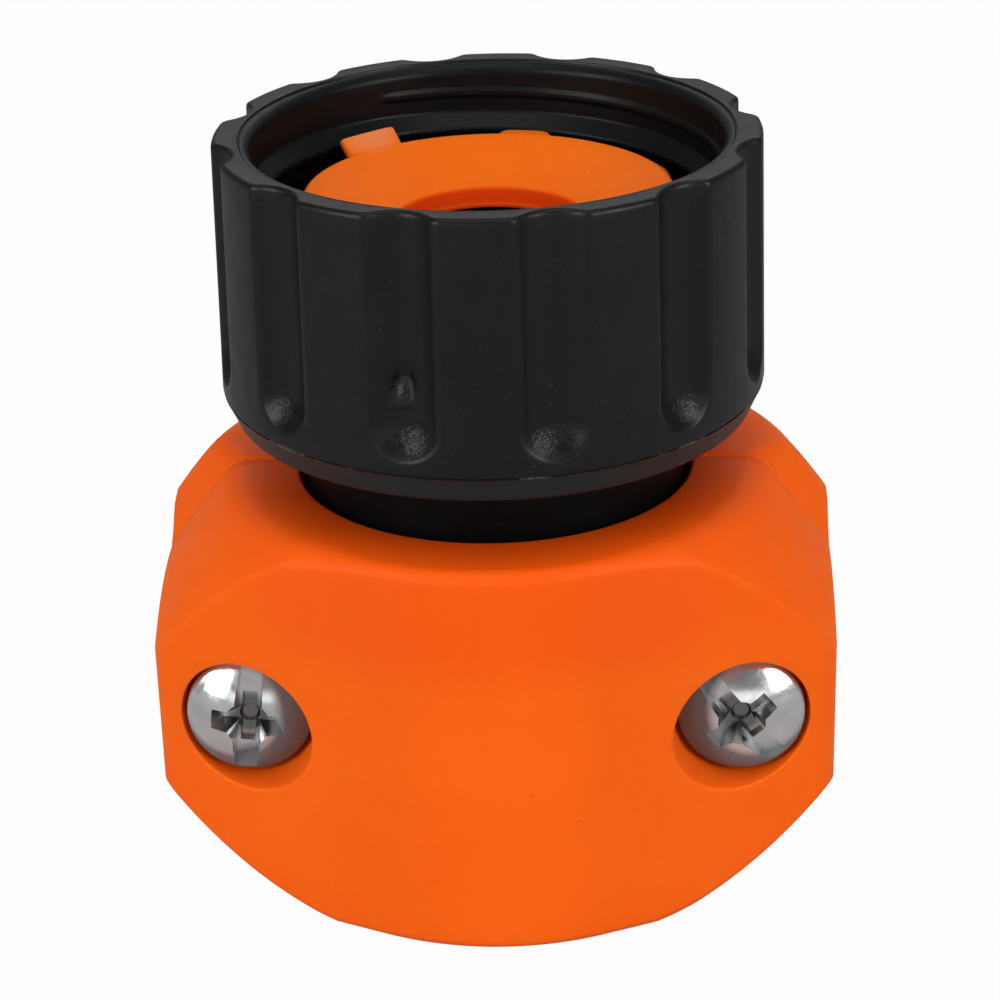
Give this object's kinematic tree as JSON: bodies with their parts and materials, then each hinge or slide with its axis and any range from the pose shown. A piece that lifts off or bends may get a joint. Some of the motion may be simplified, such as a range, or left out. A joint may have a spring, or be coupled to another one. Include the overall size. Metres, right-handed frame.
{
  "type": "female garden hose connector",
  "caption": "Garden hose repair coupling: swivel nut with an inner thread, tabbed sealing washer, barbed stem and a two-part screw clamp.",
  "frame": {"origin": "on the hose axis, in the plane of the clamp's lower face", "axes": "+Z along the hose axis from the hose to the swivel nut's mouth, +X along the clamp from screw to screw, screw heads face -Y"},
  "size_m": [0.0408, 0.033, 0.0457],
  "materials": {
    "black_plastic": "satin black moulded plastic",
    "orange_plastic": "satin orange moulded plastic",
    "orange_rubber": "smooth soft orange rubber",
    "steel": "bright zinc plated steel"
  },
  "bodies": {
    "base": {"stem": "black_plastic", "clamp_rear": "orange_plastic", "hex_nut_left": "steel", "hex_nut_right": "steel"},
    "washer": {"sealing_washer": "orange_rubber"},
    "nut": {"swivel_nut": "black_plastic"},
    "front_half": {"clamp_front": "orange_plastic"},
    "left_screw": {"screw_left": "steel"},
    "right_screw": {"screw_right": "steel"}
  },
  "joints": [
    {"name": "nut_slide", "type": "slide", "parent": "base", "child": "washer", "axis": [0, 0, 1], "range_m": [0, 0.0049]},
    {"name": "nut_swivel", "type": "hinge", "parent": "washer", "child": "nut", "pos_m": [0, 0, 0.0374], "axis": [0, 0, 1], "continuous": true},
    {"name": "front_half_slide", "type": "slide", "parent": "base", "child": "front_half", "axis": [0, -1, 0], "range_m": [0, 0.0021]},
    {"name": "left_screw_turn", "type": "hinge", "parent": "front_half", "child": "left_screw", "pos_m": [-0.0147, -0.0085, 0.01245], "axis": [0, -1, 0], "range_deg": [0, 1080]},
    {"name": "right_screw_turn", "type": "hinge", "parent": "front_half", "child": "right_screw", "pos_m": [0.0147, -0.0085, 0.01245], "axis": [0, -1, 0], "range_deg": [0, 1080]}
  ],
  "couplings": [
    {"joint": "left_screw_turn", "follows": "front_half_slide", "rad_per_m": 8976},
    {"joint": "right_screw_turn", "follows": "front_half_slide", "rad_per_m": 8976}
  ]
}
